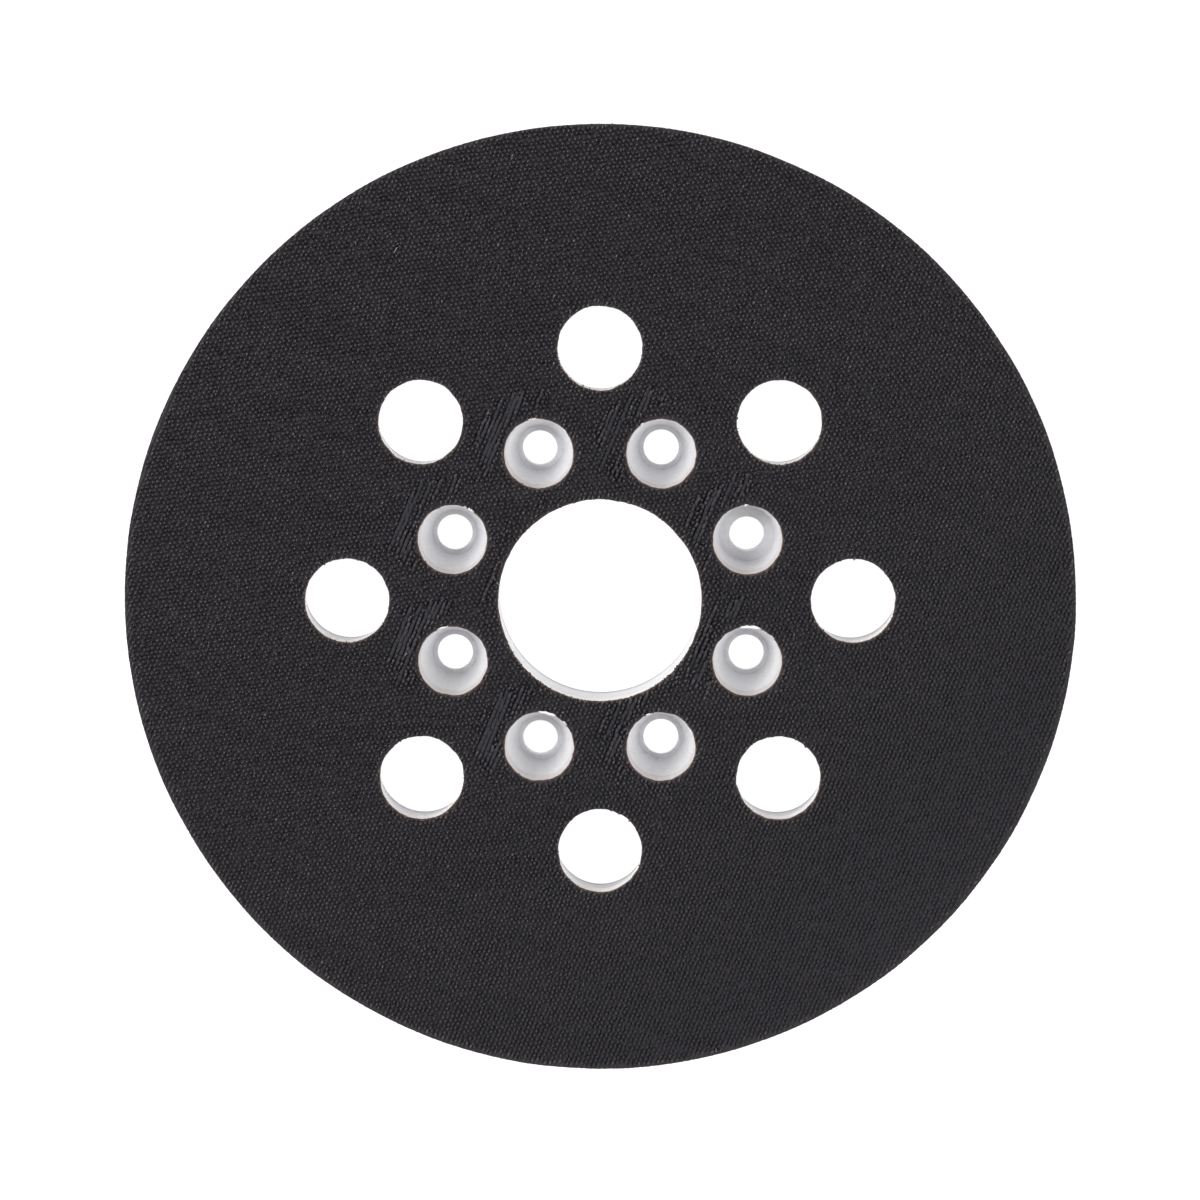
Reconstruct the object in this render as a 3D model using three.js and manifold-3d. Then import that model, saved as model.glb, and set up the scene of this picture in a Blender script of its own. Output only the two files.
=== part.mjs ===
// Backing pad of a random orbital sander: a moulded support plate, a foam cushion, a bond film and
// a hook-fastener sheet, pierced by one centre hole, a ring of dust holes and a ring of screw wells.
// Millimetres, +Z up. The pad lies on its machine side: z = 0 is the face that meets the sander,
// and the hook tips are the highest level. The Z axis is the axis of rotation.
import * as THREE from 'three';
import { mergeVertices } from 'three/addons/utils/BufferGeometryUtils.js';
import Module from 'manifold-3d';

const wasm = await Module();
wasm.setup();

// ---- driving dimensions -----------------------------------------------------------------------

// Stack of layers, from the machine face up
const PLATE_HEIGHT = 7.6;
const FOAM_THICKNESS = 3.0;
const BOND_THICKNESS = 0.15;
const SHEET_THICKNESS = 1.25; // base film with its moulded hooks

// Outline
const PAD_RADIUS = 61.1; // edge of the hook face
const FOAM_EDGE_TAPER = 1.9; // the foam's wall draws in by this much from its top to its bottom
const FOAM_EDGE_INSET = 0.1; // hook sheet stands this far proud of the foam
const PLATE_RADIUS = 58.4;

// Centre hole
const CENTRE_HOLE_RADIUS = 13.05;
const CENTRE_OUTLET_RADIUS = 13.2; // the plate's bore opens slightly towards the machine

// Dust holes
const DUST_HOLES = 8;
const DUST_CIRCLE_RADIUS = 32.5;
const DUST_HOLE_RADIUS = 5.42;
const DUST_OUTLET_RADIUS = 5.95;
const COLLAR_WALL = 1.7;
const COLLAR_CLEARANCE = 0.5; // collars stop this far short of the machine face

// Screw wells
const SCREW_WELLS = 8;
const SCREW_CIRCLE_RADIUS = 20.5;
const FIRST_WELL_ANGLE = THREE.MathUtils.degToRad(22.5);
const WELL_MOUTH_RADIUS = 4.55; // at the hook face
const WELL_NECK_RADIUS = 4.25; // where foam meets plate
const BOSS_RADIUS = 5.5;
const BORE_FLARE = 0.5; // chamfer of each bore at the machine face

// The wells are not all moulded alike: most seats lie near the machine face, two lie higher, and
// one is a flat step for a wide screw head.
const LOW_SEAT = { seatLevel: 1.2, seatRadius: 2.9, boreRadius: 2.28 };
const HIGH_SEAT = { seatLevel: 2.4, seatRadius: 2.9, boreRadius: 2.25 };
const STEP_SEAT = { seatLevel: 3.2, seatRadius: 3.5, boreRadius: 2.25 };
const WELL_FORMS = [
  STEP_SEAT, LOW_SEAT, HIGH_SEAT, LOW_SEAT,
  LOW_SEAT, HIGH_SEAT, LOW_SEAT, LOW_SEAT,
];

// Hub and flange of the support plate
const HUB_RADIUS = 27.4;
const HUB_WALL = 2.2;
const FLANGE_ROOT = 2.6; // plate thickness over the cored-out hub and out to the taper
const FLANGE_EDGE = 1.7; // flange thickness at the rim
const FLANGE_TAPER_RADIUS = 43;
const RIM_WALL = 1.6;
const RIM_DROP = 1.3; // rim lip's depth below the flange edge

// Stiffening ribs under the flange
const RIB_THICKNESS = 1.7;
const RIB_ROOT_LEVEL = 1.6; // lower edge of a rib at the hub or collar
const RIB_OVERLAP = 0.8; // ribs run this far into what they join
const RING_RIB_RADIUS = 47.5;
const RING_RIB_LEVEL = 3.7;

// Smoothness
const OUTLINE_SEGMENTS = 80;
const CENTRE_SEGMENTS = 40;
const HOLE_SEGMENTS = 20;
const CUT_MARGIN = 1; // cutters run this far past the faces they cut

// ---- levels worked out from the stack ---------------------------------------------------------

const FOAM_TOP = PLATE_HEIGHT + FOAM_THICKNESS;
const BOND_TOP = FOAM_TOP + BOND_THICKNESS;
const SHEET_TOP = BOND_TOP + SHEET_THICKNESS;
const FLANGE_UNDERSIDE = PLATE_HEIGHT - FLANGE_ROOT;
const FLANGE_EDGE_UNDERSIDE = PLATE_HEIGHT - FLANGE_EDGE;
const RIM_LEVEL = FLANGE_EDGE_UNDERSIDE - RIM_DROP;
const COLLAR_RADIUS = DUST_OUTLET_RADIUS + COLLAR_WALL;

// ---- materials --------------------------------------------------------------------------------

const hookNylon = new THREE.MeshStandardMaterial({ color: 0x2d2a2d, roughness: 0.62, metalness: 0 });
const bondAdhesive = new THREE.MeshStandardMaterial({ color: 0x5c4a3c, roughness: 0.5, metalness: 0 });
const creamFoam = new THREE.MeshStandardMaterial({ color: 0xf1e8d9, roughness: 0.95, metalness: 0 });
const greyNylon = new THREE.MeshStandardMaterial({ color: 0xced0d4, roughness: 0.45, metalness: 0 });

// ---- helpers ----------------------------------------------------------------------------------

// Turns a closed three.js geometry into a solid that can be cut and joined.
function solidFrom(geometry) {
  const bare = geometry.clone();
  bare.deleteAttribute('normal');
  bare.deleteAttribute('uv');
  const merged = mergeVertices(bare, 1e-5);
  const vertProperties = new Float32Array(merged.attributes.position.array);
  const triVerts = new Uint32Array(merged.index.array);
  return new wasm.Manifold(new wasm.Mesh({ numProp: 3, vertProperties, triVerts }));
}

// Turns a finished solid back into a named mesh.
function meshFrom(solid, name, material) {
  const { vertProperties, triVerts } = solid.getMesh();
  const geometry = new THREE.BufferGeometry();
  geometry.setAttribute('position', new THREE.BufferAttribute(vertProperties, 3));
  geometry.setIndex(new THREE.BufferAttribute(triVerts, 1));
  geometry.computeVertexNormals();
  const mesh = new THREE.Mesh(geometry, material);
  mesh.name = name;
  return mesh;
}

// Solid of revolution about Z; profile is a list of [radius, level] corners, anticlockwise, that
// starts and ends on the axis or closes on itself.
function turned(profile, segments) {
  const points = profile.map(([radius, level]) => new THREE.Vector2(radius, level));
  const geometry = new THREE.LatheGeometry(points, segments);
  geometry.rotateX(Math.PI / 2);
  return solidFrom(geometry);
}

// Conical or straight round bar between two levels.
function roundBar(lowRadius, highRadius, low, high, segments = HOLE_SEGMENTS) {
  return turned([[0, low], [lowRadius, low], [highRadius, high], [0, high]], segments);
}

// Round tube between two levels.
function tube(innerRadius, outerRadius, low, high, segments = OUTLINE_SEGMENTS) {
  const profile = [
    [innerRadius, low], [outerRadius, low], [outerRadius, high], [innerRadius, high],
    [innerRadius, low],
  ];
  return turned(profile, segments);
}

// Copies of one solid at equal angles round a circle about Z.
function ring(makeSolid, count, circleRadius, firstAngle) {
  return Array.from({ length: count }, (_, index) => {
    const angle = firstAngle + (index * 2 * Math.PI) / count;
    const x = circleRadius * Math.cos(angle);
    const y = circleRadius * Math.sin(angle);
    return makeSolid(index, angle).translate([x, y, 0]);
  });
}

function joined(base, additions) {
  return additions.reduce((whole, piece) => whole.add(piece), base);
}

function cutBy(base, cutters) {
  return cutters.reduce((whole, cutter) => whole.subtract(cutter), base);
}

// Radius of a well's tapering wall at a level: mouth at the hook face, neck at the plate.
function wellWallRadius(level) {
  const share = (level - PLATE_HEIGHT) / (SHEET_TOP - PLATE_HEIGHT);
  return WELL_NECK_RADIUS + share * (WELL_MOUTH_RADIUS - WELL_NECK_RADIUS);
}

// ---- soft layers above the plate --------------------------------------------------------------

// Cutters for the holes that every layer above the plate shares.
function layerHoles(low, high) {
  const bottom = low - CUT_MARGIN;
  const top = high + CUT_MARGIN;
  const dustHole = () => roundBar(DUST_HOLE_RADIUS, DUST_HOLE_RADIUS, bottom, top);
  const well = () => roundBar(wellWallRadius(bottom), wellWallRadius(top), bottom, top);
  return [
    roundBar(CENTRE_HOLE_RADIUS, CENTRE_HOLE_RADIUS, bottom, top, CENTRE_SEGMENTS),
    ...ring(dustHole, DUST_HOLES, DUST_CIRCLE_RADIUS, 0),
    ...ring(well, SCREW_WELLS, SCREW_CIRCLE_RADIUS, FIRST_WELL_ANGLE),
  ];
}

function layer(lowRadius, highRadius, low, high) {
  const disc = roundBar(lowRadius, highRadius, low, high, OUTLINE_SEGMENTS);
  return cutBy(disc, layerHoles(low, high));
}

function foamCushion() {
  const topRadius = PAD_RADIUS - FOAM_EDGE_INSET;
  return layer(topRadius - FOAM_EDGE_TAPER, topRadius, PLATE_HEIGHT, FOAM_TOP);
}

function bondFilm() {
  const radius = PAD_RADIUS - FOAM_EDGE_INSET;
  return layer(radius, radius, FOAM_TOP, BOND_TOP);
}

function hookSheet() {
  return layer(PAD_RADIUS, PAD_RADIUS, BOND_TOP, SHEET_TOP);
}

// ---- support plate ----------------------------------------------------------------------------

// Flange that carries the foam: level top, underside tapering towards the rim, lip round the edge.
function flange() {
  const lipRadius = PLATE_RADIUS - RIM_WALL;
  const profile = [
    [0, FLANGE_UNDERSIDE],
    [FLANGE_TAPER_RADIUS, FLANGE_UNDERSIDE],
    [lipRadius, FLANGE_EDGE_UNDERSIDE],
    [lipRadius, RIM_LEVEL],
    [PLATE_RADIUS, RIM_LEVEL],
    [PLATE_RADIUS, PLATE_HEIGHT],
    [0, PLATE_HEIGHT],
  ];
  return turned(profile, OUTLINE_SEGMENTS);
}

// The wall round the centre hole, the outer wall and the screw bosses between them; the space
// round the bosses is cored out.
function hub() {
  const top = FLANGE_UNDERSIDE + RIB_OVERLAP;
  const coreRadius = CENTRE_OUTLET_RADIUS + HUB_WALL;
  const core = roundBar(coreRadius, coreRadius, 0, top, CENTRE_SEGMENTS);
  const outerWall = tube(HUB_RADIUS - HUB_WALL, HUB_RADIUS, 0, top);
  const boss = () => roundBar(BOSS_RADIUS, BOSS_RADIUS, 0, top);
  const bosses = ring(boss, SCREW_WELLS, SCREW_CIRCLE_RADIUS, FIRST_WELL_ANGLE);
  return joined(core, [outerWall, ...bosses]);
}

function dustCollars() {
  const top = FLANGE_UNDERSIDE + RIB_OVERLAP;
  const collar = () => roundBar(COLLAR_RADIUS, COLLAR_RADIUS, COLLAR_CLEARANCE, top);
  return ring(collar, DUST_HOLES, DUST_CIRCLE_RADIUS, 0);
}

// One rib as a thin upright panel along +X from one radius to the rim, its lower edge rising.
function radialRib(startRadius) {
  const outline = new THREE.Shape();
  const endRadius = PLATE_RADIUS - RIM_WALL + RIB_OVERLAP;
  outline.moveTo(startRadius, RIB_ROOT_LEVEL);
  outline.lineTo(endRadius, RIM_LEVEL);
  outline.lineTo(endRadius, FLANGE_EDGE_UNDERSIDE + RIB_OVERLAP);
  outline.lineTo(startRadius, FLANGE_UNDERSIDE + RIB_OVERLAP);
  outline.closePath();
  const geometry = new THREE.ExtrudeGeometry(outline, { depth: RIB_THICKNESS, bevelEnabled: false });
  geometry.translate(0, 0, -RIB_THICKNESS / 2);
  geometry.rotateX(Math.PI / 2);
  return geometry;
}

// Ribs from the hub between the dust holes, and ribs from each dust collar outwards.
function radialRibs() {
  const fromHub = radialRib(HUB_RADIUS - RIB_OVERLAP);
  const fromCollar = radialRib(DUST_CIRCLE_RADIUS + COLLAR_RADIUS - RIB_OVERLAP);
  const turnedRib = (geometry) => (index, angle) => solidFrom(geometry.clone().rotateZ(angle));
  return [
    ...ring(turnedRib(fromHub), SCREW_WELLS, 0, FIRST_WELL_ANGLE),
    ...ring(turnedRib(fromCollar), DUST_HOLES, 0, 0),
  ];
}

function ringRib() {
  const inner = RING_RIB_RADIUS - RIB_THICKNESS / 2;
  const outer = RING_RIB_RADIUS + RIB_THICKNESS / 2;
  return tube(inner, outer, RING_RIB_LEVEL, FLANGE_UNDERSIDE + RIB_OVERLAP);
}

// Space of one screw well inside the plate: tapering wall, flat seat, bore and chamfered outlet.
function wellCutter(index) {
  const { seatLevel, seatRadius, boreRadius } = WELL_FORMS[index];
  const top = PLATE_HEIGHT + CUT_MARGIN;
  const profile = [
    [0, -CUT_MARGIN],
    [boreRadius + BORE_FLARE + CUT_MARGIN, -CUT_MARGIN],
    [boreRadius, BORE_FLARE],
    [boreRadius, seatLevel],
    [seatRadius, seatLevel],
    [WELL_NECK_RADIUS, PLATE_HEIGHT],
    [WELL_NECK_RADIUS, top],
    [0, top],
  ];
  return turned(profile, HOLE_SEGMENTS);
}

function plateHoles() {
  const bottom = -CUT_MARGIN;
  const top = PLATE_HEIGHT + CUT_MARGIN;
  const dustHole = () => roundBar(DUST_OUTLET_RADIUS, DUST_HOLE_RADIUS, bottom, top);
  return [
    roundBar(CENTRE_OUTLET_RADIUS, CENTRE_HOLE_RADIUS, bottom, top, CENTRE_SEGMENTS),
    ...ring(dustHole, DUST_HOLES, DUST_CIRCLE_RADIUS, 0),
    ...ring(wellCutter, SCREW_WELLS, SCREW_CIRCLE_RADIUS, FIRST_WELL_ANGLE),
  ];
}

function supportPlate() {
  const additions = [hub(), ...dustCollars(), ringRib(), ...radialRibs()];
  return cutBy(joined(flange(), additions), plateHoles());
}

// ---- assembly ---------------------------------------------------------------------------------

const sandingPad = new THREE.Group();
sandingPad.add(
  meshFrom(supportPlate(), 'support_plate', greyNylon),
  meshFrom(foamCushion(), 'foam_cushion', creamFoam),
  meshFrom(bondFilm(), 'bond_film', bondAdhesive),
  meshFrom(hookSheet(), 'hook_sheet', hookNylon),
);

export default sandingPad;
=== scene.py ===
"""Looks of a random orbital sander's backing pad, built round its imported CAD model.

Metres, +Z up, in the CAD's frame: the pad lies on its machine side with the hook face up. Four
layers are shown, from the bottom: the moulded plate, the foam cushion, the adhesive film and the
hook sheet, whose hooks are real geometry.
"""
import math

import bpy
import numpy as np
from mathutils import Matrix, Vector, noise
from mathutils.geometry import tessellate_polygon


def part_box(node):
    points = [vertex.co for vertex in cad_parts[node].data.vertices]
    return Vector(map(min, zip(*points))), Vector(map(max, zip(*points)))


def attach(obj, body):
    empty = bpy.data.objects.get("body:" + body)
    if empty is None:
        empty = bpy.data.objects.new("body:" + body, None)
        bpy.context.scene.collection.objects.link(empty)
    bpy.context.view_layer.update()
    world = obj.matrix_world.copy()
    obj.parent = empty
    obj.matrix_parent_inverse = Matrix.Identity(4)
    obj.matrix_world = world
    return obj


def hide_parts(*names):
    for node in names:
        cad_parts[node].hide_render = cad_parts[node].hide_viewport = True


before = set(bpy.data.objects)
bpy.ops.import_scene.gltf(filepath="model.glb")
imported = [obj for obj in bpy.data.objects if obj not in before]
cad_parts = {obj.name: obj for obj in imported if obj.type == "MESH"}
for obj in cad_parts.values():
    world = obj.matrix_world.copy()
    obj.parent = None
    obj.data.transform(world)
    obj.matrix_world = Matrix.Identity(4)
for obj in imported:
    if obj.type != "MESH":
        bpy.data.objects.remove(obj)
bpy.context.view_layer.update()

MM = 0.001
FULL_TURN = 2 * math.pi
SEED = 20260

# ---- dimensions ---------------------------------------------------------------------------------

# Levels and outlines that the CAD model gives
PLATE_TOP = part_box("support_plate")[1].z
PLATE_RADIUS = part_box("support_plate")[1].x
FOAM_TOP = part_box("foam_cushion")[1].z
FOAM_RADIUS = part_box("foam_cushion")[1].x
BOND_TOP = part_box("bond_film")[1].z
SHEET_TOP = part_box("hook_sheet")[1].z
PAD_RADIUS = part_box("hook_sheet")[1].x

# Holes, as in the CAD model
CENTRE_HOLE_RADIUS = 13.05 * MM
CENTRE_OUTLET_RADIUS = 13.2 * MM
DUST_CIRCLE_RADIUS = 32.5 * MM
DUST_HOLE_RADIUS = 5.42 * MM
DUST_OUTLET_RADIUS = 5.95 * MM
SCREW_CIRCLE_RADIUS = 20.5 * MM
WELL_MOUTH_RADIUS = 4.55 * MM
WELL_NECK_RADIUS = 4.25 * MM
HOLE_COUNT = 8
DUST_ANGLES = [FULL_TURN * i / HOLE_COUNT for i in range(HOLE_COUNT)]
WELL_ANGLES = [FULL_TURN * (i + 0.5) / HOLE_COUNT for i in range(HOLE_COUNT)]

# Well seats, as in the CAD model: (seat level, seat radius, bore radius)
LOW_SEAT = (1.2 * MM, 2.9 * MM, 2.28 * MM)
HIGH_SEAT = (2.4 * MM, 2.9 * MM, 2.25 * MM)
STEP_SEAT = (3.2 * MM, 3.5 * MM, 2.25 * MM)
WELL_FORMS = [STEP_SEAT, LOW_SEAT, HIGH_SEAT, LOW_SEAT, LOW_SEAT, HIGH_SEAT, LOW_SEAT, LOW_SEAT]

# Underside of the plate, as in the CAD model
FLANGE_ROOT = 2.6 * MM
FLANGE_EDGE = 1.7 * MM
FLANGE_TAPER_RADIUS = 43 * MM
RIM_WALL = 1.6 * MM
RIM_DROP = 1.3 * MM
HUB_RADIUS = 27.4 * MM
HUB_WALL = 2.2 * MM
BOSS_RADIUS = 5.5 * MM
BORE_FLARE = 0.5 * MM
COLLAR_WALL = 1.7 * MM
COLLAR_CLEARANCE = 0.5 * MM
RIB_THICKNESS = 1.7 * MM
RIB_ROOT_LEVEL = 1.6 * MM
RIB_OVERLAP = 0.8 * MM
RING_RIB_RADIUS = 47.5 * MM
RING_RIB_LEVEL = 3.7 * MM
FLANGE_UNDERSIDE = PLATE_TOP - FLANGE_ROOT
FLANGE_EDGE_UNDERSIDE = PLATE_TOP - FLANGE_EDGE
RIM_LEVEL = FLANGE_EDGE_UNDERSIDE - RIM_DROP
COLLAR_RADIUS = DUST_OUTLET_RADIUS + COLLAR_WALL
MOULD_FILLET = 0.3 * MM
HOLE_LIP = 0.5 * MM
SEAT_FILLET = 0.12 * MM
WELL_CUP_SHAPE = 0.8

# Foam
FOAM_EDGE_TAPER = 1.9 * MM

# Hook sheet, with its hooks in rows at an angle to X
FILM_THICKNESS = 0.45 * MM
HOOK_PITCH = 0.611 * MM
HOOK_ROW_SPACING = 0.538 * MM
HOOK_ROW_ANGLE = math.radians(67.3)
HOOK_EDGE_MARGIN = 0.13 * MM
HOOK_OUTLINE_MARGIN = 0.4 * MM
HOOK_PIECES = 8
HOOK_CELL_MARGIN = 0.15


def polar(radius, angle):
    return radius * math.cos(angle), radius * math.sin(angle)


def link(obj):
    bpy.context.scene.collection.objects.link(obj)
    return obj


# ---- materials ----------------------------------------------------------------------------------

# Linear colours. Each pair is for a pattern's hollows and its crests.
WHITE = (1.0, 1.0, 1.0)
NYLON_COLOURS = ((0.755, 0.755, 0.775), (0.81, 0.81, 0.83))
NYLON_FLECK = (0.94, 0.94, 0.94)
# Painted shade on the plate's hole walls, darkest at the foot and fading upwards
PAINTED_SHADE_COLOURS = ((0.34, 0.34, 0.36), (0.70, 0.70, 0.715), (0.94, 0.94, 0.945))
# Foam: painted shade in the pores, then the cell walls
FOAM_PORE_SHADE_COLOURS = ((0.78, 0.75, 0.715), (0.91, 0.885, 0.855))
FOAM_TINT = (0.97, 0.955, 0.94)
# Painted shade on the foam where it lines a screw well
FOAM_WELL_SHADE = (0.82, 0.805, 0.825)
ADHESIVE_COLOURS = ((0.07, 0.04, 0.025), (0.20, 0.13, 0.085))
FILM_COLOURS = ((0.013, 0.011, 0.0145), (0.020, 0.0175, 0.022))
FILM_STAIN_COLOURS = ((0.03, 0.022, 0.018), (0.12, 0.088, 0.067))
HOOK_COLOURS = ((0.008, 0.0065, 0.009), (0.072, 0.064, 0.075), (0.15, 0.13, 0.13))
HOOK_CLOUD_COLOURS = ((0.80, 0.78, 0.80), WHITE)
HOOK_RUBBED = (0.020, 0.0183, 0.024)
HOOK_STAIN = (0.11, 0.088, 0.075)
NYLON_IOR = 1.53


def grey(level):
    return level, level, level


class Nodes:
    """Shorthand for building one material's node tree."""

    def __init__(self, name):
        self.material = bpy.data.materials.new(name)
        self.material.use_nodes = True
        self.tree = self.material.node_tree
        self.shader = self.tree.nodes["Principled BSDF"]

    def add(self, kind, **settings):
        node = self.tree.nodes.new(kind)
        for key, value in settings.items():
            setattr(node, key, value)
        return node

    def join(self, source, target):
        self.tree.links.new(source, target)

    def position(self):
        return self.add("ShaderNodeTexCoord").outputs["Object"]

    def noise(self, size, detail=3.0):
        node = self.add("ShaderNodeTexNoise")
        node.inputs["Scale"].default_value = 1 / size
        node.inputs["Detail"].default_value = detail
        node.inputs["Roughness"].default_value = 0.55
        self.join(self.position(), node.inputs["Vector"])
        return node.outputs["Fac"]

    def cells(self, size):
        node = self.add("ShaderNodeTexVoronoi")
        node.inputs["Scale"].default_value = 1 / size
        self.join(self.position(), node.inputs["Vector"])
        return node.outputs["Distance"]

    def height(self):
        """Height over the foot of the pad, as a share of the plate's height."""
        split = self.add("ShaderNodeSeparateXYZ")
        self.join(self.position(), split.inputs[0])
        return self.math("DIVIDE", split.outputs["Z"], PLATE_TOP)

    def attribute(self, name):
        return self.add("ShaderNodeAttribute", attribute_name=name).outputs["Fac"]

    def across_rows(self, wander_size, wander):
        """-1 to 1 across the hook rows, highest on each row, with lines that wander a little."""
        turned = self.add("ShaderNodeMapping")
        turned.inputs["Rotation"].default_value = (0, 0, -HOOK_ROW_ANGLE)
        self.join(self.position(), turned.inputs["Vector"])
        split = self.add("ShaderNodeSeparateXYZ")
        self.join(turned.outputs[0], split.inputs[0])
        shifted = self.math("MULTIPLY_ADD", self.noise(wander_size), wander, split.outputs["Y"])
        return self.math("COSINE", self.math("MULTIPLY", shifted, FULL_TURN / HOOK_ROW_SPACING))

    def math(self, operation, *values):
        node = self.add("ShaderNodeMath", operation=operation)
        for socket, value in zip(node.inputs, values):
            if isinstance(value, bpy.types.NodeSocket):
                self.join(value, socket)
            else:
                socket.default_value = value
        return node.outputs[0]

    def ramp(self, source, stops):
        node = self.add("ShaderNodeValToRGB")
        elements = node.color_ramp.elements
        while len(elements) < len(stops):
            elements.new(0.5)
        for element, (place, colour) in zip(elements, stops):
            element.position = place
            element.color = (*colour, 1)
        self.join(source, node.inputs["Fac"])
        return node.outputs["Color"]

    def patches(self, source, colours, spread=0.2):
        """The first colour in a noise's hollows and the second on its crests, soft in between."""
        hollow, crest = colours
        return self.ramp(source, [(0.5 - spread, hollow), (0.5 + spread, crest)])

    def mix(self, share, first, second, blend="MIX"):
        node = self.add("ShaderNodeMix", data_type="RGBA", blend_type=blend)
        for socket, value in ((node.inputs[0], share), (node.inputs[6], first), (node.inputs[7], second)):
            if isinstance(value, bpy.types.NodeSocket):
                self.join(value, socket)
            elif isinstance(value, tuple):
                socket.default_value = (*value, 1)
            else:
                socket.default_value = value
        return node.outputs[2]

    def tint(self, colour, filter_colour, share=1.0):
        return self.mix(share, colour, filter_colour, "MULTIPLY")

    def colour(self, source):
        self.join(source, self.shader.inputs["Base Color"])

    def roughness(self, source):
        self.join(source, self.shader.inputs["Roughness"])

    def bump(self, height, distance, strength=1.0):
        node = self.add("ShaderNodeBump")
        node.inputs["Strength"].default_value = strength
        node.inputs["Distance"].default_value = distance
        self.join(height, node.inputs["Height"])
        self.join(node.outputs["Normal"], self.shader.inputs["Normal"])

    def set(self, **values):
        for key, value in values.items():
            self.shader.inputs[key.replace("_", " ")].default_value = value

    def scatter(self, weight, radii):
        """Light that enters the material and leaves it nearby, at a radius for red, green and blue."""
        self.set(Subsurface_Weight=weight, Subsurface_Scale=1.0, Subsurface_Radius=radii)


def grey_nylon():
    """Natural nylon: pale grey and slightly translucent, with faint flow clouds and a mould grain.

    Painted shade darkens the walls of the dust holes and the centre hole, most of all low down.
    """
    nodes = Nodes("grey_nylon")
    clouds = nodes.patches(nodes.noise(7 * MM, detail=4), NYLON_COLOURS)
    flecks = nodes.ramp(nodes.noise(0.5 * MM, detail=2), [(0.35, NYLON_FLECK), (0.6, WHITE)])
    # Painted shade on the hole walls: darkest at the foot, fading out at each hole's reach
    reach = nodes.attribute("painted_shade_reach")
    climb = nodes.math("DIVIDE", nodes.height(), reach)
    painted_shade = nodes.ramp(climb, list(zip((0.24, 0.44, 1.0), PAINTED_SHADE_COLOURS)))
    shaded_wall = nodes.math("GREATER_THAN", reach, 0.0)
    nodes.colour(nodes.tint(nodes.tint(clouds, flecks), painted_shade, share=shaded_wall))
    nodes.roughness(nodes.patches(nodes.noise(1.1 * MM), (grey(0.38), grey(0.55))))
    nodes.bump(nodes.noise(0.35 * MM, detail=4), distance=0.02 * MM, strength=0.5)
    nodes.set(IOR=NYLON_IOR, Specular_IOR_Level=0.4)
    nodes.scatter(0.4, (1.4 * MM, 1.4 * MM, 1.4 * MM))
    return nodes.material


def cream_foam():
    """Fine-celled polyurethane foam with cut, open cells, with painted shade darkening its pores and
    greying it where it lines a screw well.
    """
    nodes = Nodes("cream_foam")
    # Painted shade in the pores of the cells
    cells = nodes.ramp(nodes.cells(0.26 * MM), list(zip((0.0, 0.35), FOAM_PORE_SHADE_COLOURS)))
    blotches = nodes.patches(nodes.noise(3.5 * MM), (FOAM_TINT, WHITE), spread=0.15)
    # Painted shade where the foam lines a screw well
    well_shade = nodes.mix(nodes.attribute("well"), WHITE, FOAM_WELL_SHADE)
    nodes.colour(nodes.tint(nodes.tint(cells, blotches), well_shade))
    nodes.bump(nodes.cells(0.17 * MM), distance=0.05 * MM, strength=0.7)
    nodes.set(Roughness=0.95, IOR=1.4)
    nodes.scatter(0.2, (0.9 * MM, 0.7 * MM, 0.5 * MM))
    return nodes.material


def bond_adhesive():
    """Brown dried contact adhesive, glossy where it has run and dull where it tore."""
    nodes = Nodes("bond_adhesive")
    nodes.colour(nodes.patches(nodes.noise(0.6 * MM), ADHESIVE_COLOURS))
    nodes.roughness(nodes.patches(nodes.noise(0.9 * MM), (grey(0.3), grey(0.7)), spread=0.15))
    nodes.bump(nodes.noise(0.25 * MM), distance=0.04 * MM, strength=0.6)
    nodes.set(IOR=1.5)
    return nodes.material


def film_nylon():
    """Base film of the hook sheet: black, with low ridges along the rows and brown-stained cut edges."""
    nodes = Nodes("film_nylon")
    face = nodes.patches(nodes.noise(2.4 * MM, detail=4), FILM_COLOURS)
    stain = nodes.patches(nodes.noise(0.4 * MM), FILM_STAIN_COLOURS, spread=0.15)
    nodes.colour(nodes.mix(nodes.attribute("cut"), face, stain))
    nodes.roughness(nodes.patches(nodes.noise(0.7 * MM), (grey(0.5), grey(0.75))))
    nodes.bump(nodes.across_rows(wander_size=2 * MM, wander=0.25 * MM), distance=0.03 * MM)
    nodes.set(IOR=NYLON_IOR, Specular_IOR_Level=0.25)
    return nodes.material


def hook_nylon():
    """Moulded hooks: near-black, each its own shade, dull where worn or combed, browner at a cut edge."""
    nodes = Nodes("hook_nylon")
    shade = nodes.attribute("shade")
    dull = nodes.attribute("dull")
    upright = nodes.ramp(shade, list(zip((0.0, 0.95, 1.0), HOOK_COLOURS)))
    clouds = nodes.patches(nodes.noise(9 * MM), HOOK_CLOUD_COLOURS, spread=0.15)
    rubbed = nodes.mix(dull, nodes.tint(upright, clouds), HOOK_RUBBED)
    nodes.colour(nodes.mix(nodes.attribute("stain"), rubbed, HOOK_STAIN))
    gloss = nodes.ramp(shade, [(0.0, grey(0.5)), (1.0, grey(0.26))])
    nodes.roughness(nodes.mix(dull, gloss, grey(0.9)))
    nodes.bump(nodes.noise(0.08 * MM, detail=2), distance=0.01 * MM, strength=0.4)
    nodes.set(IOR=NYLON_IOR)
    return nodes.material


# ---- pierced layers: foam, adhesive and base film ------------------------------------------------

# A punched edge wanders from its circle in waves: (lobes, depth)
PUNCH_WAVES = [(3, 0.09 * MM), (9, 0.05 * MM)]
SEED_STRIDE = 7.3
CENTRE_SEED = 1
DUST_SEED = 10
WELL_SEED = 30
SHARP_LAYER_ANGLE = math.radians(50)

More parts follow.
